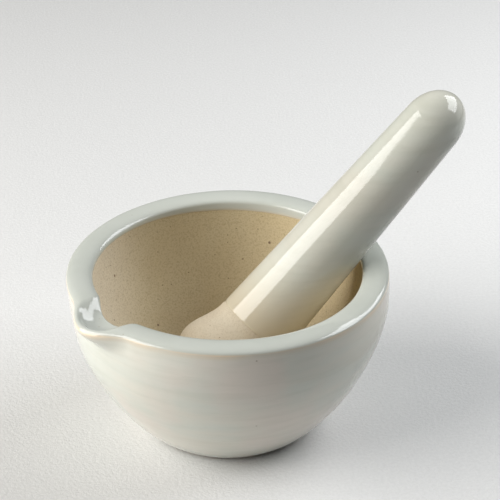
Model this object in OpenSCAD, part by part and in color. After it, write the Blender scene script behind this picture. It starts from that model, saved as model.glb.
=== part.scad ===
// Laboratory porcelain mortar and pestle.
// The mortar is a thick round-bottomed bowl with a pinched pouring lip. The pestle is one turned
// piece with a flared grinding head, and it leans on the rim with its head on the bowl's floor.
// Both are biscuit porcelain under a thin fused glaze coat, and both grinding surfaces are bare.
// Frame: +Z up, origin at the centre of the foot, on the bowl's axis. +X is to the right of the
// lip and +Y is behind it. All sizes are in millimetres.

/* [Mortar] */
// Outer diameter of the bowl at its widest, over the glaze
bowl_d = 100; // [80:1:130]
// Height from the foot to the highest part of the rim, over the glaze
bowl_h = 54.6; // [46:0.2:70]
// Diameter of the flat foot
foot_d = 50; // [36:1:60]
// Width of the rim band, from its outer crease to the bowl's mouth
rim_w = 8; // [6:0.5:10]
// Height of the rim's crown above its outer crease
crown_h = 1.5; // [1:0.1:3]
// Thickness of the floor at the bowl's axis
floor_t = 9; // [6:0.5:12]
// How far the rim rises and falls around the bowl, as it slumped a little in the kiln
rim_warp = 0.5; // [0:0.1:1]
// How far the wall is pressed in beside the lip
wall_press = 1; // [0:0.1:1.5]

/* [Pouring lip] */
// Direction of the lip around the bowl, in degrees from +X
lip_angle = 217; // [180:1:270]
// How far the lip stands out past the rim
lip_reach = 4.8; // [2:0.2:6]
// Half of the lip's width where it leaves the rim, in degrees around the bowl
lip_half_angle = 17.6; // [14:0.2:20]
// Depth of the pouring channel below the rim's crown
channel_depth = 4; // [2.5:0.1:4.2]

/* [Pestle] */
// Overall length of the pestle
pestle_len = 119; // [100:1:140]
// Diameter of the grinding head at its widest
head_d = 32.2; // [28:0.2:36]
// Diameter of the handle just above the head
neck_d = 24.8; // [20:0.2:26]
// Diameter of the handle where its round end begins
end_d = 18.8; // [14:0.2:20]
// Lean of the pestle away from vertical, in degrees
pestle_lean = 45.7; // [42:0.1:50]
// Direction that the pestle leans towards, in degrees from +X
pestle_angle = 22.3; // [0:0.1:45]

/* [Glaze] */
// Thickness of the glaze coat
glaze_t = 0.3; // [0.2:0.05:0.5]
// Depth of the glaze's lower edge inside the bowl, below the rim's crown
glaze_depth = 3.9; // [3.4:0.1:8]
// Distance of the glaze's edge from the tip of the pestle's head
pestle_bare = 24.4; // [24.4:0.2:40]

/* [Hidden] */
$fn = 96;

biscuit = [0.80, 0.72, 0.60];
glaze = [0.93, 0.94, 0.91];

// ---- Mortar's section, in biscuit, from the foot's edge over the rim to the floor's centre ----
body_r = bowl_d / 2 - glaze_t;
foot_r = foot_d / 2;
rim_z = bowl_h - rim_warp;               // mean height of the rim
widest_z = rim_z * 0.83;                 // height where the wall is widest
crease_r = body_r - 0.3;                 // the wall draws in a little up to the rim's crease
crease_z = rim_z - crown_h - glaze_t + 0.1;
crown_b = crown_h - 0.1;
crown_a = rim_w / 2 - glaze_t / 2;
crown_flat = 2.4;                        // power of the crown's curve: flat on top, round at its edges
crown_r = crease_r - crown_a;            // radius of the crown, half way across the rim band
mouth_r = crown_r - crown_a;
bowl_top_z = rim_z - 3.2;                // below this the inside is half an ellipsoid
bowl_depth = bowl_top_z - floor_t;

// Powers that shape the outer wall: full below, nearly upright above
wall_u = 1.56;
wall_v = 1.29;
function wall_r(z) =
    foot_r + (body_r - foot_r) * pow(1 - pow(max(0, 1 - z / widest_z), wall_u), 1 / wall_v);
function inner_r(z) =
    mouth_r * sqrt(max(0, 1 - pow(max(0, bowl_top_z - z) / bowl_depth, 2)));

WALL_STEPS = 14;
NECK_STEPS = 3;
CROWN_STEPS = 12;
MOUTH_STEPS = 2;
INNER_STEPS = 12;
glaze_end_z = bowl_h - glaze_depth;

// A station is [r, z, t]: t runs from 0 at the crease to 1 at the mouth, below 0 outside the
// bowl and above 1 inside it.
wall_stations = [for (i = [0:WALL_STEPS]) let (z = widest_z * pow(i / WALL_STEPS, 1.6)) [wall_r(z), z, -1]];
neck_stations = [for (i = [1:NECK_STEPS]) let (s = i / (NECK_STEPS + 1))
    [body_r + (crease_r - body_r) * s * s, widest_z + (crease_z - widest_z) * s, -1]];
function curve(x, power) = sign(x) * pow(abs(x), 2 / power);
crown_stations = [for (i = [0:CROWN_STEPS]) let (t = i / CROWN_STEPS)
    [crown_r + crown_a * curve(cos(180 * t), crown_flat),
     crease_z + crown_b * curve(i == CROWN_STEPS ? 0 : sin(180 * t), crown_flat), t]];
mouth_stations = [for (i = [1:MOUTH_STEPS])
    let (z = crease_z + (glaze_end_z - crease_z) * i / MOUTH_STEPS) [inner_r(z), z, 2]];
inner_first = asin(max(0, bowl_top_z - glaze_end_z) / bowl_depth);
inner_last = 88;                         // the middle of the floor is a small flat
inner_stations = [for (i = [1:INNER_STEPS])
    let (a = inner_first + (inner_last - inner_first) * i / INNER_STEPS)
    [mouth_r * cos(a), bowl_top_z - bowl_depth * sin(a), 2]];
stations = concat(wall_stations, neck_stations, crown_stations, mouth_stations, inner_stations);
STATIONS = len(stations);
GLAZE_FIRST = 1;                         // the glaze starts a little above the foot
GLAZE_LAST = WALL_STEPS + NECK_STEPS + CROWN_STEPS + MOUTH_STEPS + 1;

// ---- Pouring lip: how the section changes near lip_angle ----
channel_out_angle = 0.6 * lip_half_angle;
channel_in_angle = 0.9 * lip_half_angle;
channel_turn = -1;                       // the channel lies a little to one side of the lip's middle
throat_reach = 2.1;                      // how far the bowl's mouth moves out in the channel
lip_drop = 1.2;                          // the lip's tip lies a little below the crease
lip_edge_h = 1.1;                        // height of the lip's rounded edge
lip_edge_t = 0.38;                       // share of the rim band that the rounded edge takes
lip_root = 8;                            // the lip grows out of the wall over this height
throat_root = 12;                        // and the channel out of the inside over this height
lip_pool = 0.4;                          // extra depth half way along the channel

function mix(a, b, t) = a + (b - a) * t;
function clamp01(x) = min(1, max(0, x));
function smooth(x) = let (c = clamp01(x)) c * c * (3 - 2 * c);
function bell(u, power = 1.4) = abs(u) >= 1 ? 0 : 0.5 + 0.5 * cos(180 * pow(abs(u), power));

function channel_z(t) = crease_z - lip_drop
    + lip_edge_h * sin(180 * clamp01(t / lip_edge_t))
    - (channel_depth - crown_b - lip_drop) * smooth((t - lip_edge_t / 2) / 0.45)
    - lip_pool * bell((t - 0.62) / 0.38, 1);

// Where the wall is pressed in: a wide shallow hollow under the rim, to one side of the lip
press_angle = -18;
press_half_angle = 47;
press_z = 0.79 * rim_z;
press_half_z = 13;
function pressed(z, d) = bell(((d + 180) % 360 - 180 - press_angle) / press_half_angle, 1)
    * bell((z - press_z) / press_half_z, 1);

// The rim's rise and fall. It fades down the outside, and the glaze's edge inside goes against it.
warp_angle = 27;                         // direction in which the rim starts to rise
edge_warp = 0.8;                         // the same for the glaze's edge, as a share of the rim's
function warped(s, d) = rim_warp * sin(2 * (lip_angle + d - warp_angle))
    * (s[2] < 2 ? smooth(s[1] / rim_z) : s[1] < glaze_end_z
        ? -edge_warp * smooth((s[1] - glaze_end_z + throat_root) / throat_root)
        : mix(-edge_warp, 1, smooth((s[1] - glaze_end_z) / (crease_z - glaze_end_z))));

// A station moved for the direction d, in degrees from the lip's middle
function lip_station(s, d) =
    let (plan = bell(d / lip_half_angle, 1), e = d - channel_turn,
        throat = bell(e / channel_in_angle))
    s[2] < 0
    ? let (w = smooth((s[1] - crease_z + lip_root) / lip_root) * plan)
        [s[0] + lip_reach * w - wall_press * pressed(s[1], d), s[1] - lip_drop * w]
    : s[2] <= 1
    ? let (t = s[2], cut = bell(e / mix(channel_out_angle, channel_in_angle, t)),
            w = mix(plan, cut, smooth(t / lip_edge_t)))
        [s[0] + mix(lip_reach * plan, throat_reach * throat, t), mix(s[1], channel_z(t), w)]
    : let (w = smooth((s[1] - crease_z + throat_root) / throat_root) * throat,
            v = smooth((s[1] - crease_z + throat_root / 2) / throat_root * 2) * throat)
        [s[0] + throat_reach * w, s[1] - (crease_z - channel_z(1)) * v];

function bowl_point(i, d) = let (p = lip_station(stations[i], d))
    [p[0] * cos(lip_angle + d), p[0] * sin(lip_angle + d), p[1] + warped(stations[i], d)];
function unit(v) = v / norm(v);
function normal(i, d) = unit(cross(bowl_point(i, d + 0.5) - bowl_point(i, d - 0.5),
    bowl_point(i + 1, d) - bowl_point(i - 1, d)));

// The glaze thins to half at its two edges
function coat(i) = glaze_t * (i == GLAZE_FIRST || i == GLAZE_LAST ? 0.5 : 1);
function coat_point(i, d) = bowl_point(i, d) + coat(i) * normal(i, d);

// Directions around the bowl, in degrees from the lip's middle: close together across the lip
LIP_SECTOR = 24;
LIP_STEPS = 28;
PLAIN_STEPS = 60;
dirs = concat(
    [for (j = [0:LIP_STEPS - 1]) LIP_SECTOR * (2 * j / LIP_STEPS - 1)],
    [for (j = [0:PLAIN_STEPS - 1]) LIP_SECTOR + (360 - 2 * LIP_SECTOR) * j / PLAIN_STEPS]);
DIRS = len(dirs);

function ring_sides(n, closed) = [for (j = [0:DIRS - 1]) for (i = [0:n - (closed ? 1 : 2)])
    let (a = j * n, b = (j + 1) % DIRS * n, k = (i + 1) % n) each [
        [a + i, a + k, b + k],
        [a + i, b + k, b + i]]];

// The bowl's skin, closed by the flat foot and by the small flat in the middle of the floor
module mortar()
    color(biscuit) polyhedron(
        [for (d = dirs) for (i = [0:STATIONS - 1]) bowl_point(i, d)],
        concat(ring_sides(STATIONS, false), [
            [for (j = [0:DIRS - 1]) j * STATIONS],
            [for (j = [DIRS - 1:-1:0]) j * STATIONS + STATIONS - 1]]),
        convexity = 6);

// The coat between its own surface and the biscuit's
module mortar_glaze()
    color(glaze) polyhedron(
        [for (d = dirs) each concat(
            [for (i = [GLAZE_FIRST:GLAZE_LAST]) coat_point(i, d)],
            [for (i = [GLAZE_LAST:-1:GLAZE_FIRST]) bowl_point(i, d)])],
        ring_sides(2 * (GLAZE_LAST - GLAZE_FIRST + 1), true),
        convexity = 6);

// ---- Pestle: turned about its own axis, with its tip at the origin and its handle along +Z ----
head_r = head_d / 2;
neck_r = neck_d / 2 - glaze_t;
end_r = end_d / 2 - glaze_t;
head_h = 9.8;                            // height of the head's widest circle above the tip
neck_z = 24;                              // the flare from head to handle ends here
cap_h = 12;                              // length of the handle's rounded end
head_round = 2.15;                       // power of the curve on the head's face
HEAD_STEPS = 14;
FLARE_STEPS = 12;
CAP_STEPS = 12;

face_points = [for (i = [0:HEAD_STEPS]) let (a = 90 * i / HEAD_STEPS)
    [head_r * pow(sin(a), 2 / head_round), head_h * (1 - pow(cos(a), 2 / head_round))]];
flare_points = [for (i = [1:FLARE_STEPS]) let (s = i / FLARE_STEPS)
    [mix(head_r, neck_r, 0.5 - 0.5 * cos(180 * s)), mix(head_h, neck_z, s)]];
cap_z = pestle_len - cap_h;
cap_points = [for (i = [0:CAP_STEPS]) let (a = 90 * i / CAP_STEPS)
    [i == CAP_STEPS ? 0 : end_r * cos(a), cap_z + (cap_h - glaze_t) * sin(a)]];
pestle_outline = concat(face_points, flare_points, cap_points);

// Radius of the bare handle at a height between the neck and the cap
function handle_r(z) = mix(neck_r, end_r, (z - neck_z) / (cap_z - neck_z));
edge_round = 0.6;                        // length over which the coat reaches its full thickness
handle_coat = concat(
    [[handle_r(pestle_bare), pestle_bare],
     [handle_r(pestle_bare) + glaze_t / 2, pestle_bare],
     [handle_r(pestle_bare + edge_round) + glaze_t, pestle_bare + edge_round]],
    [for (i = [0:CAP_STEPS]) let (a = 90 * i / CAP_STEPS)
        [i == CAP_STEPS ? 0 : (end_r + glaze_t) * cos(a), cap_z + cap_h * sin(a)]],
    [for (i = [CAP_STEPS:-1:0]) cap_points[i]]);

// Where the tip of the pestle's head lies with the pestle at rest
rest_tip = [-8.2, -11.7, floor_t + 8.4];

module placed()
    translate(rest_tip) rotate([0, 0, pestle_angle]) rotate([0, pestle_lean, 0]) children();

module pestle() color(biscuit) placed() rotate_extrude() polygon(pestle_outline);

module pestle_glaze() color(glaze) placed() rotate_extrude() polygon(handle_coat);

mortar();
mortar_glaze();
pestle();
pestle_glaze();
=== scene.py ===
"""A porcelain laboratory mortar and pestle, in metres, in the CAD frame.

Each of the two pieces is biscuit under a coat of glaze. The bowl's section is turned round its
axis and pinched into a pouring lip; the pestle's outline is turned round the pestle's own axis.
"""
import math

import bpy
from mathutils import Matrix, Vector, noise

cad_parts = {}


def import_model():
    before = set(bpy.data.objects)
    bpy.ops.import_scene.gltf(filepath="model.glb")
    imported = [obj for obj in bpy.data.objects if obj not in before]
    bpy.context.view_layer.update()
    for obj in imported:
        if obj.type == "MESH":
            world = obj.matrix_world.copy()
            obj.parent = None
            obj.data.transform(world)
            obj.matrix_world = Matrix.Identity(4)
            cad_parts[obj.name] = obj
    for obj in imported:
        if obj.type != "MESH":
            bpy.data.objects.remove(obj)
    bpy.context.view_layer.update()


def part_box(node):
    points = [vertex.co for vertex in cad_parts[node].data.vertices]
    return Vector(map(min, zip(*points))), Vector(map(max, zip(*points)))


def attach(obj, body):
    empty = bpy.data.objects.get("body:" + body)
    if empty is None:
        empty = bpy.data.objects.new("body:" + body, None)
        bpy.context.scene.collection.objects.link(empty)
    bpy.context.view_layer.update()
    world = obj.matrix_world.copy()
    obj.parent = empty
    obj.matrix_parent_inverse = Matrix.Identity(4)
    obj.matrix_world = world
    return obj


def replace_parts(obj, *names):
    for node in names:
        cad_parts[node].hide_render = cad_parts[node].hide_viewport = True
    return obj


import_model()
MM = 0.001

# ---- Sizes: the bowl, from the frame and the CAD's own dimensions ----
INSET = 0.02 * MM                       # keeps the finer meshes inside the CAD model's box
BOWL_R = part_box("mortar_glaze")[1][0] - INSET
BOWL_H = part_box("mortar_glaze")[1][2] - INSET
RIM_WARP = 0.5 * MM
RIM_Z = BOWL_H - RIM_WARP
GLAZE_T = 0.3 * MM
EMBED = 0.15 * MM                       # the coat's hidden side lies this deep in the biscuit
FOOT_R = 25 * MM
RIM_W = 8 * MM
CROWN_H = 1.5 * MM
CROWN_FLAT = 2.4
FLOOR_T = 9 * MM
GLAZE_DEPTH = 3.9 * MM
BODY_R = BOWL_R - GLAZE_T
WIDEST_Z = 0.83 * RIM_Z
CREASE_R = BODY_R - 0.3 * MM
CREASE_Z = RIM_Z - CROWN_H - GLAZE_T + 0.1 * MM
CROWN_B = CROWN_H - 0.1 * MM
CROWN_A = RIM_W / 2 - GLAZE_T / 2
CROWN_R = CREASE_R - CROWN_A
MOUTH_R = CROWN_R - CROWN_A
BOWL_TOP_Z = RIM_Z - 3.2 * MM
BOWL_DEPTH = BOWL_TOP_Z - FLOOR_T
GLAZE_END_Z = BOWL_H - GLAZE_DEPTH
WALL_POWERS = (1.56, 1.29)
WARP_ANGLE = 27.0
EDGE_WARP = 0.8
WALL_PRESS = 1 * MM
PRESS_ANGLE, PRESS_HALF_ANGLE = -18.0, 47.0
PRESS_Z, PRESS_HALF_Z = 0.79 * RIM_Z, 13 * MM

# ---- Sizes: the pouring lip ----
LIP_ANGLE = 217.0
LIP_REACH = 4.8 * MM
LIP_HALF_ANGLE = 17.6
CHANNEL_DEPTH = 4 * MM
CHANNEL_OUT_ANGLE = 0.6 * LIP_HALF_ANGLE
CHANNEL_IN_ANGLE = 0.9 * LIP_HALF_ANGLE
CHANNEL_TURN = -1.0
THROAT_REACH = 2.1 * MM
LIP_DROP = 1.2 * MM
LIP_EDGE_H = 1.1 * MM
LIP_EDGE_T = 0.38
LIP_POOL = 0.4 * MM
LIP_ROOT = 8 * MM
THROAT_ROOT = 12 * MM
LIP_SECTOR = 24.0                       # half of the sector with finer steps round the lip, degrees

# ---- Steps along the bowl's section, part by part, and round it ----
WALL_STEPS, SHOULDER_STEPS, CROWN_STEPS = 72, 12, 56
LINER_STEPS, INSIDE_STEPS = 12, 80
LIP_STEPS, PLAIN_STEPS = 96, 236

# ---- The fired surfaces' unevenness, and the coat's rounded edges ----
BISCUIT_LUMP = 0.03 * MM
COAT_RIPPLE = 0.05 * MM
COAT_LUMP = 0.04 * MM
COAT_SINK = 0.06 * MM                   # makes room for most of the ripples' height
FOOT_EDGE = 1.0 * MM
GLAZE_EDGE = 1.2 * MM

# ---- Sizes: the pestle, and where it lies ----
PESTLE_LEN = 119 * MM - INSET
HEAD_R = 16.1 * MM
NECK_R = 12.4 * MM
END_R = 9.4 * MM
HEAD_H = 9.8 * MM
NECK_Z = 24 * MM
CAP_H = 12 * MM
HEAD_ROUND = 2.15
PESTLE_BARE = 24.4 * MM
REST_TIP = Vector((-8.2, -11.7, 17.4)) * MM
PESTLE_LEAN = 45.7
PESTLE_ANGLE = 22.3
HEAD_STEPS, FLARE_STEPS, HANDLE_STEPS, END_STEPS = 48, 40, 90, 40
EDGE_STEPS = 10
SEGMENTS = 160
PESTLE_LUMP = 0.03 * MM
THIN_RUN = 20 * MM                      # the thin look fades over this length above the edge


# ---- Small maths ----
def mix(a, b, t):
    return a + (b - a) * t


def smooth(x):
    c = min(1.0, max(0.0, x))
    return c * c * (3 - 2 * c)


def bell(u, power=1.4):
    return 0.0 if abs(u) >= 1 else 0.5 + 0.5 * math.cos(math.pi * abs(u) ** power)


def curve(x, power):
    return math.copysign(abs(x) ** (2 / power), x)


def wave(p, scale, seed):
    """Smooth noise from -1 to 1 at a point, with features about scale metres across."""
    return noise.noise(p / scale + Vector((seed, 0.37 * seed, -0.71 * seed)))


# ---- The bowl's section: stations (r, z, t) from the foot's edge to the middle of the floor ----
# t is below 0 on the outside, runs from 0 at the rim's crease to 1 at the mouth, and is 2 inside.
def wall_r(z):
    u, v = WALL_POWERS
    return FOOT_R + (BODY_R - FOOT_R) * (1 - max(0.0, 1 - z / WIDEST_Z) ** u) ** (1 / v)


def inner_r(z):
    return MOUTH_R * math.sqrt(max(0.0, 1 - (max(0.0, BOWL_TOP_Z - z) / BOWL_DEPTH) ** 2))


def bowl_stations():
    out = []
    for i in range(WALL_STEPS + 1):
        z = WIDEST_Z * (i / WALL_STEPS) ** 1.6
        out.append((wall_r(z), z, -1.0))
    for i in range(1, SHOULDER_STEPS):
        s = i / SHOULDER_STEPS
        out.append((mix(BODY_R, CREASE_R, s * s), mix(WIDEST_Z, CREASE_Z, s), -1.0))
    for i in range(CROWN_STEPS + 1):
        a = math.pi * i / CROWN_STEPS
        up = curve(math.sin(a) if i < CROWN_STEPS else 0.0, CROWN_FLAT)
        out.append((CROWN_R + CROWN_A * curve(math.cos(a), CROWN_FLAT), CREASE_Z + CROWN_B * up,
                    i / CROWN_STEPS))
    for i in range(1, LINER_STEPS + 1):
        z = mix(CREASE_Z, GLAZE_END_Z, (i / LINER_STEPS) ** 0.6)
        out.append((inner_r(z), z, 2.0))
    first = math.asin((BOWL_TOP_Z - GLAZE_END_Z) / BOWL_DEPTH)
    for i in range(1, INSIDE_STEPS + 1):
        a = mix(first, math.radians(89), i / INSIDE_STEPS)
        out.append((MOUTH_R * math.cos(a), BOWL_TOP_Z - BOWL_DEPTH * math.sin(a), 2.0))
    return out


STATIONS = bowl_stations()
GLAZE_FIRST = next(i for i, s in enumerate(STATIONS) if s[1] > 0.6 * MM)
GLAZE_LAST = WALL_STEPS + SHOULDER_STEPS + CROWN_STEPS + LINER_STEPS


def channel_z(t):
    edge = LIP_EDGE_H * math.sin(math.pi * min(1.0, t / LIP_EDGE_T))
    floor = (CHANNEL_DEPTH - CROWN_B - LIP_DROP) * smooth((t - LIP_EDGE_T / 2) / 0.45)
    return CREASE_Z - LIP_DROP + edge - floor - LIP_POOL * bell((t - 0.62) / 0.38, 1)


def pressed(z, d):
    """How far the wall is pressed in beside the lip, as a share of WALL_PRESS."""
    turn = (d + 180) % 360 - 180
    return bell((turn - PRESS_ANGLE) / PRESS_HALF_ANGLE, 1) * bell((z - PRESS_Z) / PRESS_HALF_Z, 1)


def warped(station, d):
    """The rim's rise and fall. It fades down the outside; inside, the glaze's edge goes against it."""
    z, t = station[1], station[2]
    if t < 2:
        share = smooth(z / RIM_Z)
    elif z < GLAZE_END_Z:
        share = -EDGE_WARP * smooth((z - GLAZE_END_Z + THROAT_ROOT) / THROAT_ROOT)
    else:
        share = mix(-EDGE_WARP, 1, smooth((z - GLAZE_END_Z) / (CREASE_Z - GLAZE_END_Z)))
    return RIM_WARP * math.sin(2 * math.radians(LIP_ANGLE + d - WARP_ANGLE)) * share


def lip_station(station, d):
    """(r, z) of a station in the direction d, in degrees from the lip's middle."""
    r, z, t = station
    plan = bell(d / LIP_HALF_ANGLE, 1)
    side = d - CHANNEL_TURN
    throat = bell(side / CHANNEL_IN_ANGLE)
    if t < 0:
        w = smooth((z - CREASE_Z + LIP_ROOT) / LIP_ROOT) * plan
        return r + LIP_REACH * w - WALL_PRESS * pressed(z, d), z - LIP_DROP * w
    if t <= 1:
        cut = bell(side / mix(CHANNEL_OUT_ANGLE, CHANNEL_IN_ANGLE, t))
        w = mix(plan, cut, smooth(t / LIP_EDGE_T))
        return r + mix(LIP_REACH * plan, THROAT_REACH * throat, t), mix(z, channel_z(t), w)
    w = smooth((z - CREASE_Z + THROAT_ROOT) / THROAT_ROOT) * throat
    v = smooth((z - CREASE_Z + THROAT_ROOT / 2) / THROAT_ROOT * 2) * throat
    return r + THROAT_REACH * w, z - (CREASE_Z - channel_z(1.0)) * v


def bowl_point(i, d):
    r, z = lip_station(STATIONS[i], d)
    a = math.radians(LIP_ANGLE + d)
    return Vector((r * math.cos(a), r * math.sin(a), z + warped(STATIONS[i], d)))


def bowl_normal(i, d):
    along = bowl_point(min(i + 1, len(STATIONS) - 1), d) - bowl_point(max(i - 1, 0), d)
    round_ = bowl_point(i, d + 0.25) - bowl_point(i, d - 0.25)
    return round_.cross(along).normalized()


def directions():
    """Degrees from the lip's middle: fine steps across the lip, then plain ones round the rest."""
    lip = [LIP_SECTOR * (2 * j / LIP_STEPS - 1) for j in range(LIP_STEPS)]
    plain = 360 - 2 * LIP_SECTOR
    return lip + [LIP_SECTOR + plain * j / PLAIN_STEPS for j in range(PLAIN_STEPS)]


DIRS = directions()


# ---- Meshes ----
def new_piece(name, verts, faces, body, material, attributes=()):
    mesh = bpy.data.meshes.new(name)
    mesh.from_pydata(verts, [], faces)
    mesh.polygons.foreach_set("use_smooth", [True] * len(mesh.polygons))
    for label, values in attributes:
        mesh.attributes.new(label, "FLOAT", "POINT").data.foreach_set("value", values)
    mesh.materials.append(material)
    mesh.update()
    obj = bpy.data.objects.new(name, mesh)
    bpy.context.scene.collection.objects.link(obj)
    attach(obj, body)
    return obj


def loft_faces(rings, n, closed):
    """Quads between rings of n points each; the rings go all the way round."""
    faces = []
    for j in range(rings):
        a, b = j * n, (j + 1) % rings * n
        for i in range(n if closed else n - 1):
            k = (i + 1) % n
            faces.append((a + i, b + i, b + k, a + k))
    return faces


def coat_thickness(x, length):
    """Share of the full thickness at a distance x from the coat's edge, rounded over length."""
    c = min(1.0, max(0.0, x / length))
    return math.sqrt(1 - (1 - c) ** 2)


def mortar_biscuit(material):
    n = len(STATIONS)
    verts = []
    for d in DIRS:
        for i in range(n):
            p = bowl_point(i, d)
            if 2 < i < n - 2:
                p = p + bowl_normal(i, d) * (BISCUIT_LUMP * wave(p, 7 * MM, 3.0))
            verts.append(p)
    faces = loft_faces(len(DIRS), n, False)
    faces.append(tuple(j * n for j in reversed(range(len(DIRS)))))
    faces.append(tuple(j * n + n - 1 for j in range(len(DIRS))))
    return new_piece("mortar_biscuit", verts, faces, "mortar", material)


def coat_lengths(run):
    """How far along the section each station of the coat lies from its first."""
    length = [0.0]
    for i in run[1:]:
        a, b = STATIONS[i - 1], STATIONS[i]
        length.append(length[-1] + math.hypot(a[0] - b[0], a[1] - b[1]))
    return length


def coat_ripple(p, t):
    """The glaze's unevenness: throwing rings on the outside, and broad lumps all over."""
    ripple = 0.0
    if t < 0:
        ring = Vector((0.15 * p.x, 0.15 * p.y, p.z))
        ripple = COAT_RIPPLE * wave(ring, 4.5 * MM, 1.0) * smooth(p.z / (8 * MM))
    return ripple + COAT_LUMP * wave(p, 11 * MM, 2.0)


def coat_thin(p, station, edge):
    """How thin the glaze looks, 0 to 1: along the rim's outer crease and towards its own edges."""
    z, t = station[1], station[2]
    away = (t - 0.03) / 0.05 if t >= 0 else (CREASE_Z - z) / (0.8 * MM)
    crease = math.exp(-away ** 2)
    return min(1.0, crease * (0.75 + 0.5 * wave(p, 9 * MM, 5.0)) + 1.2 * (1 - edge))


def rim_shade_share(station):
    """Where the rim's painted shade goes: 1 on the rim and inside it, fading to 0 just below the rim's
    crease outside.
    """
    return 1.0 if station[2] >= 0 else smooth((station[1] - CREASE_Z) / (1.5 * MM) + 1)


def mortar_coat(material):
    run = range(GLAZE_FIRST, GLAZE_LAST + 1)
    length = coat_lengths(run)
    total = length[-1]
    rim_shade_shares = [rim_shade_share(STATIONS[i]) for i in run]
    verts, thin, rim = [], [], []
    for d in DIRS:
        outer, inner, thins = [], [], []
        for k, i in enumerate(run):
            p = bowl_point(i, d)
            nrm = bowl_normal(i, d)
            edge = min(coat_thickness(length[k], FOOT_EDGE),
                       coat_thickness(total - length[k], GLAZE_EDGE))
            ripple = coat_ripple(p, STATIONS[i][2])
            outer.append(p + nrm * ((GLAZE_T + ripple - COAT_SINK) * edge - 0.01 * MM))
            inner.append(p - nrm * EMBED)
            thins.append(coat_thin(p, STATIONS[i], edge))
        verts += outer + inner[::-1]
        thin += thins + thins[::-1]
        rim += rim_shade_shares + rim_shade_shares[::-1]
    faces = loft_faces(len(DIRS), 2 * len(run), True)
    # The "rim" attribute carries where the rim's painted shade goes.
    return new_piece("mortar_coat", verts, faces, "mortar", material,
                     (("thin", thin), ("rim", rim)))


# ---- Pestle ----
def handle_r(z):
    return mix(NECK_R, END_R, (z - NECK_Z) / (PESTLE_LEN - CAP_H - NECK_Z))


def pestle_outline():
    """(r, z) of the finished pestle from the tip of its head to the top of its handle."""
    out = []
    for i in range(1, HEAD_STEPS + 1):
        a = math.pi / 2 * i / HEAD_STEPS
        out.append((HEAD_R * math.sin(a) ** (2 / HEAD_ROUND),
                    HEAD_H * (1 - math.cos(a) ** (2 / HEAD_ROUND))))
    for i in range(1, FLARE_STEPS + 1):
        s = i / FLARE_STEPS
        out.append((mix(HEAD_R, NECK_R, 0.5 - 0.5 * math.cos(math.pi * s)), mix(HEAD_H, NECK_Z, s)))
    for i in range(1, HANDLE_STEPS + 1):
        z = mix(NECK_Z, PESTLE_LEN - CAP_H, i / HANDLE_STEPS)
        out.append((handle_r(z), z))
    for i in range(1, END_STEPS):
        a = math.pi / 2 * i / END_STEPS
        out.append((END_R * math.cos(a), PESTLE_LEN - CAP_H + CAP_H * math.sin(a)))
    return out


def turned(outline):
    verts = []
    for r, z in outline:
        for k in range(SEGMENTS):
            a = 2 * math.pi * k / SEGMENTS
            verts.append(Vector((r * math.cos(a), r * math.sin(a), z)))
    return verts


def turned_faces(rings):
    faces = []
    for i in range(rings - 1):
        for k in range(SEGMENTS):
            m = (k + 1) % SEGMENTS
            a, b = i * SEGMENTS, (i + 1) * SEGMENTS
            faces.append((a + k, a + m, b + m, b + k))
    faces.append(tuple(reversed(range(SEGMENTS))))
    faces.append(tuple((rings - 1) * SEGMENTS + k for k in range(SEGMENTS)))
    return faces


PESTLE_MATRIX = (
    Matrix.Translation(REST_TIP)
    @ Matrix.Rotation(math.radians(PESTLE_ANGLE), 4, "Z")
    @ Matrix.Rotation(math.radians(PESTLE_LEAN), 4, "Y"))


def under_glaze(r, z):
    """The biscuit's own (r, z) under a point of the finished outline."""
    if z > PESTLE_BARE:
        r = r - GLAZE_T
    if z >= PESTLE_LEN - CAP_H:
        z = z - GLAZE_T * (z - PESTLE_LEN + CAP_H) / CAP_H
    return max(0.2 * MM, r), z


def pestle_biscuit(material):
    outline = [under_glaze(r, z) for r, z in pestle_outline()]
    verts = [PESTLE_MATRIX @ v for v in turned(outline)]
    return new_piece("pestle_biscuit", verts, turned_faces(len(outline)), "pestle",
                     material)


def pestle_coat_outline():
    """The coat's (r, z) from its hidden lower edge up, and how thin the glaze is at each."""
    top = [(r, z) for r, z in pestle_outline() if z >= PESTLE_BARE]
    start = top[0][1]
    outline = [(top[0][0] - GLAZE_T - EMBED, start - 0.2 * MM)]
    thin = [1.0]
    for i in range(EDGE_STEPS):
        x = GLAZE_EDGE * (i / EDGE_STEPS) ** 2
        outline.append((handle_r(start + x) - GLAZE_T * (1 - coat_thickness(x, GLAZE_EDGE)), start + x))
        thin.append(1.0)
    for r, z in top:
        if z > start + GLAZE_EDGE:
            outline.append((r, z))
            thin.append(min(1.0, max(0.0, 1.15 - (z - start) / THIN_RUN)))
    return outline, thin


def pestle_coat(material):
    outline, thin = pestle_coat_outline()
    verts = []
    for v in turned(outline):
        lump = PESTLE_LUMP * wave(v, 12 * MM, 8.0)
        side = Vector((v.x, v.y, 0.0))
        verts.append(PESTLE_MATRIX @ (v + side.normalized() * (lump - PESTLE_LUMP)))
    values = [t for t in thin for _ in range(SEGMENTS)]
    return new_piece("pestle_coat", verts, turned_faces(len(outline)), "pestle",
                     material, (("thin", values),))


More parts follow.
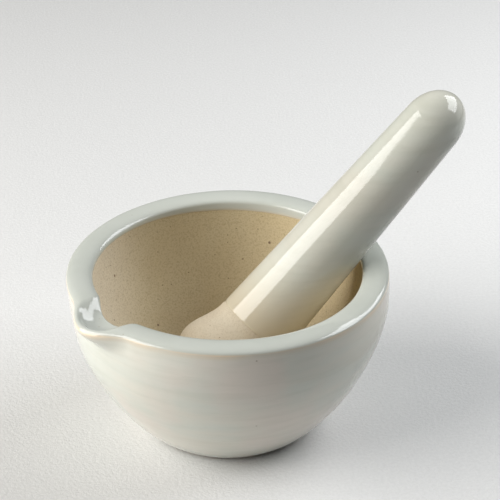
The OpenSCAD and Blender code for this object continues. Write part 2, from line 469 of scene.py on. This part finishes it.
# ---- Materials ----
class Nodes:
    """A material's node tree, with short ways to add and join nodes."""

    def __init__(self, name):
        self.material = bpy.data.materials.new(name)
        self.material.use_nodes = True
        self.tree = self.material.node_tree
        self.shader = self.tree.nodes["Principled BSDF"]

    def add(self, kind, **settings):
        node = self.tree.nodes.new(kind)
        for key, value in settings.items():
            if hasattr(node, key):
                setattr(node, key, value)
            else:
                node.inputs[key.replace("_", " ")].default_value = value
        return node

    def link(self, a, b):
        self.tree.links.new(a, b)

    def position(self, scale=(1, 1, 1)):
        place = self.add("ShaderNodeTexCoord")
        mapping = self.add("ShaderNodeMapping")
        mapping.inputs["Scale"].default_value = scale
        self.link(place.outputs["Object"], mapping.inputs["Vector"])
        return mapping.outputs["Vector"]

    def noise(self, vector, scale, detail=2.0, roughness=0.5):
        node = self.add("ShaderNodeTexNoise", Scale=scale, Detail=detail, Roughness=roughness)
        self.link(vector, node.inputs["Vector"])
        return node.outputs["Fac"]

    def remap(self, value, low, high, out_low=0.0, out_high=1.0):
        node = self.add("ShaderNodeMapRange", interpolation_type="SMOOTHSTEP")
        self.link(value, node.inputs["Value"])
        node.inputs["From Min"].default_value = low
        node.inputs["From Max"].default_value = high
        node.inputs["To Min"].default_value = out_low
        node.inputs["To Max"].default_value = out_high
        return node.outputs["Result"]

    def blend(self, factor, a, b, mode="MIX"):
        """Blend two colours, each a socket or (r, g, b); a Mix node's colours are sockets 6 and 7."""
        node = self.add("ShaderNodeMix", data_type="RGBA", blend_type=mode)
        self.link(factor, node.inputs[0])
        for socket, value in ((node.inputs[6], a), (node.inputs[7], b)):
            if isinstance(value, bpy.types.NodeSocket):
                self.link(value, socket)
            else:
                socket.default_value = (*value, 1)
        return node.outputs[2]

    def attribute(self, name):
        return self.add("ShaderNodeAttribute", attribute_name=name).outputs["Fac"]

    def bump(self, height, strength, distance):
        node = self.add("ShaderNodeBump", Strength=strength, Distance=distance)
        self.link(height, node.inputs["Height"])
        self.link(node.outputs["Normal"], self.shader.inputs["Normal"])

    def specks(self, vector, scale, size, keep):
        """Round specks: about one in 1/keep of the cells of a grid with scale cells a metre."""
        cell = self.add("ShaderNodeTexVoronoi", feature="F1", Scale=scale)
        self.link(vector, cell.inputs["Vector"])
        split = self.add("ShaderNodeSeparateColor")
        self.link(cell.outputs["Color"], split.inputs["Color"])
        near = self.remap(cell.outputs["Distance"], size * 0.5, size, 1.0, 0.0)
        chosen = self.remap(split.outputs["Red"], keep - 0.001, keep + 0.001, 1.0, 0.0)
        both = self.add("ShaderNodeMath", operation="MULTIPLY")
        self.link(near, both.inputs[0])
        self.link(chosen, both.inputs[1])
        return both.outputs["Value"]


PINHOLE = (0.40, 0.36, 0.29)
SMALL_SPECK = (0.14, 0.09, 0.05)
LARGE_SPECK = (0.20, 0.13, 0.08)
# Painted contact shade: dark brown for the foot's edge, where the bowl stands on the floor.
FOOT_CONTACT_SHADE = (0.22, 0.15, 0.08)
STREAK_TINT = (0.945, 0.95, 0.94)


def glaze_material(name, body, cool, pink, rim, warm):
    """Glossy glaze: cool bands and pink clouds in the body, a darker, cooler rim colour that is painted
    shade, warm where it is thin.
    """
    m = Nodes(name)
    m.shader.inputs["Roughness"].default_value = 0.07
    m.shader.inputs["IOR"].default_value = 1.52
    place = m.position()
    tint = m.remap(m.noise(m.position((0.25, 0.25, 1.0)), 90, 3), 0.35, 0.65)
    colour = m.blend(tint, body, cool)
    blush = m.remap(m.noise(place, 34, 2), 0.48, 0.66)
    colour = m.blend(blush, colour, pink)
    # Painted shade: the rim and the glaze inside the mouth darker and cooler than the wall.
    colour = m.blend(m.attribute("rim"), colour, rim)
    streaks = m.remap(m.noise(m.position((0.12, 0.12, 1.0)), 400, 3, 0.6), 0.42, 0.72)
    colour = m.blend(streaks, colour, STREAK_TINT, "MULTIPLY")
    colour = m.blend(m.attribute("thin"), colour, warm)
    colour = m.blend(m.specks(place, 260, 0.09, 0.08), colour, PINHOLE)
    m.link(colour, m.shader.inputs["Base Color"])
    m.bump(m.noise(place, 500, 2), 0.05, 0.0002)
    return m.material


def biscuit_material(name, body, dark, speck, painted_light_tone, grain):
    """Matt biscuit: cloudy, grainy and specked, with painted light making it lighter towards -X and
    painted contact shade making it dark brown at the foot's edge.
    """
    m = Nodes(name)
    m.shader.inputs["Roughness"].default_value = 0.72
    m.shader.inputs["Specular IOR Level"].default_value = 0.35
    place = m.position()
    cloud = m.remap(m.noise(place, 60, 4), 0.3, 0.7)
    colour = m.blend(cloud, body, dark)
    split = m.add("ShaderNodeSeparateXYZ")
    m.link(place, split.inputs["Vector"])
    # Painted light: lighter towards -X, on the inner wall that faces the light from the right.
    colour = m.blend(m.remap(split.outputs["X"], -0.043, -0.022, 1.0, 0.0), colour, painted_light_tone)
    mottle = m.remap(m.noise(place, 1900, 2, 0.6), 0.42, 0.72, 0.0, grain)
    colour = m.blend(mottle, colour, speck)
    colour = m.blend(m.specks(place, 700, 0.16, 0.16), colour, SMALL_SPECK)
    colour = m.blend(m.specks(place, 220, 0.13, 0.10), colour, LARGE_SPECK)
    # Painted contact shade: dark brown at the foot's edge, where it meets the floor.
    colour = m.blend(m.remap(split.outputs["Z"], 0.0004, 0.0014, 1.0, 0.0), colour, FOOT_CONTACT_SHADE)
    m.link(colour, m.shader.inputs["Base Color"])
    m.bump(m.noise(place, 2600, 3, 0.7), 0.25, 0.0001)
    return m.material


def floor_material():
    m = Nodes("paper_floor")
    m.shader.inputs["Roughness"].default_value = 0.8
    m.shader.inputs["Specular IOR Level"].default_value = 0.2
    place = m.position()
    tint = m.remap(m.noise(place, 900, 4, 0.7), 0.3, 0.7)
    m.link(m.blend(tint, (0.67, 0.67, 0.665), (0.72, 0.72, 0.715)), m.shader.inputs["Base Color"])
    m.bump(m.noise(place, 900, 3, 0.7), 0.6, 0.0003)
    return m.material


# The mortar's rim colour is painted shade on the rim and the glaze inside the mouth.
mortar_glaze = glaze_material(
    "mortar_glaze", body=(0.65, 0.63, 0.555), cool=(0.60, 0.62, 0.56), pink=(0.66, 0.61, 0.545),
    rim=(0.54, 0.56, 0.515), warm=(0.73, 0.60, 0.44))
pestle_glaze = glaze_material(
    "pestle_glaze", body=(0.585, 0.58, 0.51), cool=(0.565, 0.585, 0.52), pink=(0.585, 0.57, 0.495),
    rim=(0.585, 0.58, 0.51), warm=(0.57, 0.51, 0.39))
# The bowl's biscuit gets painted light on its left inner wall from the last colour below.
bare_bowl = biscuit_material(
    "bare_bowl", body=(0.62, 0.525, 0.34), dark=(0.58, 0.48, 0.30), speck=(0.36, 0.27, 0.15),
    painted_light_tone=(0.67, 0.59, 0.46), grain=0.5)
bare_head = biscuit_material(
    "bare_head", body=(0.60, 0.53, 0.41), dark=(0.57, 0.49, 0.37), speck=(0.38, 0.30, 0.19),
    painted_light_tone=(0.60, 0.53, 0.41), grain=0.35)

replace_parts(mortar_biscuit(bare_bowl), "mortar")
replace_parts(mortar_coat(mortar_glaze), "mortar_glaze")
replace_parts(pestle_biscuit(bare_head), "pestle")
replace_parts(pestle_coat(pestle_glaze), "pestle_glaze")


# ---- Floor ----
FLOOR_LEFT, FLOOR_RIGHT, FLOOR_FRONT, FLOOR_BACK = -0.35, 0.14, -0.14, 0.32
FLOOR_HALF = 0.7


def sheet(name, verts, faces, material):
    mesh = bpy.data.meshes.new(name)
    mesh.from_pydata(verts, [], faces)
    mesh.polygons.foreach_set("use_smooth", [True] * len(mesh.polygons))
    mesh.materials.append(material)
    obj = bpy.data.objects.new(name, mesh)
    bpy.context.scene.collection.objects.link(obj)
    return obj


def floor():
    """Paper that lies flat under the object, and round it more of the same.

    The outer part sends no soft light back, as if the studio were dark beyond a small sheet.
    """
    xs = (-FLOOR_HALF, FLOOR_LEFT, FLOOR_RIGHT, FLOOR_HALF)
    ys = (-FLOOR_HALF, FLOOR_FRONT, FLOOR_BACK, FLOOR_HALF)
    paper = floor_material()
    under = [(xs[i], ys[j], 0) for i, j in ((1, 1), (2, 1), (2, 2), (1, 2))]
    sheet("floor", under, [(0, 1, 2, 3)], paper)
    verts = [(x, y, 0) for y in ys for x in xs]
    faces = [(4 * j + i, 4 * j + i + 1, 4 * j + i + 5, 4 * j + i + 4)
             for j in range(3) for i in range(3) if (i, j) != (1, 1)]
    outer = sheet("floor_outer", verts, faces, paper)
    outer.visible_diffuse = False


floor()


# ---- Camera and light ----
CAMERA_LENS = 137.8                     # mm, on a sensor 36 mm wide
CAMERA_PLACE = Vector((0, -0.5064, 0.3518))
CAMERA_AIM = Vector((0.0069, 0, 0.0593))
CAMERA_ROLL = -0.44
LIGHT_AIM = Vector((0, 0, 0.05))


def towards(azimuth, elevation):
    """The unit vector out to a direction, in degrees round from +X and up from level."""
    a, e = math.radians(azimuth), math.radians(elevation)
    return Vector((math.cos(e) * math.cos(a), math.cos(e) * math.sin(a), math.sin(e)))


def camera():
    data = bpy.data.cameras.new("camera")
    data.sensor_width = 36
    data.lens = CAMERA_LENS
    obj = bpy.data.objects.new("camera", data)
    bpy.context.scene.collection.objects.link(obj)
    turn = (CAMERA_AIM - CAMERA_PLACE).to_track_quat("-Z", "Y").to_matrix().to_4x4()
    roll = Matrix.Rotation(math.radians(CAMERA_ROLL), 4, "Z")
    obj.matrix_world = Matrix.Translation(CAMERA_PLACE) @ turn @ roll
    bpy.context.scene.camera = obj


def softbox(name, azimuth, elevation, distance, width, height, watts, colour):
    """A soft rectangular light that faces the object from a direction and distance."""
    data = bpy.data.lights.new(name, "AREA")
    data.shape = "RECTANGLE"
    data.size = width
    data.size_y = height
    data.energy = watts
    data.color = colour
    obj = bpy.data.objects.new(name, data)
    bpy.context.scene.collection.objects.link(obj)
    out = towards(azimuth, elevation)
    turn = out.to_track_quat("Z", "Y").to_matrix().to_4x4()
    obj.matrix_world = Matrix.Translation(LIGHT_AIM + out * distance) @ turn


def world(seen, cast):
    """A light grey surround for the camera, and next to no light of its own on the object."""
    w = bpy.data.worlds.new("studio")
    w.use_nodes = True
    tree = w.node_tree
    back = tree.nodes["Background"]
    back.inputs["Color"].default_value = (*cast, 1)
    wall = tree.nodes.new("ShaderNodeBackground")
    wall.inputs["Color"].default_value = (*seen, 1)
    path = tree.nodes.new("ShaderNodeLightPath")
    pick = tree.nodes.new("ShaderNodeMixShader")
    tree.links.new(path.outputs["Is Camera Ray"], pick.inputs["Fac"])
    tree.links.new(back.outputs["Background"], pick.inputs[1])
    tree.links.new(wall.outputs["Background"], pick.inputs[2])
    tree.links.new(pick.outputs["Shader"], tree.nodes["World Output"].inputs["Surface"])
    bpy.context.scene.world = w


camera()
bpy.context.scene.view_settings.view_transform = "Standard"
softbox("key", azimuth=192.5, elevation=25.5, distance=0.8, width=0.78, height=0.85, watts=13.0,
        colour=(1.0, 0.985, 0.955))
softbox("window", azimuth=22, elevation=40, distance=0.55, width=0.52, height=0.28, watts=2.9,
        colour=(0.96, 0.98, 1.0))
softbox("window_low", azimuth=20, elevation=13, distance=0.55, width=0.44, height=0.22, watts=0.15,
        colour=(0.96, 0.98, 1.0))
world(seen=(0.72, 0.73, 0.73), cast=(0.03, 0.03, 0.03))
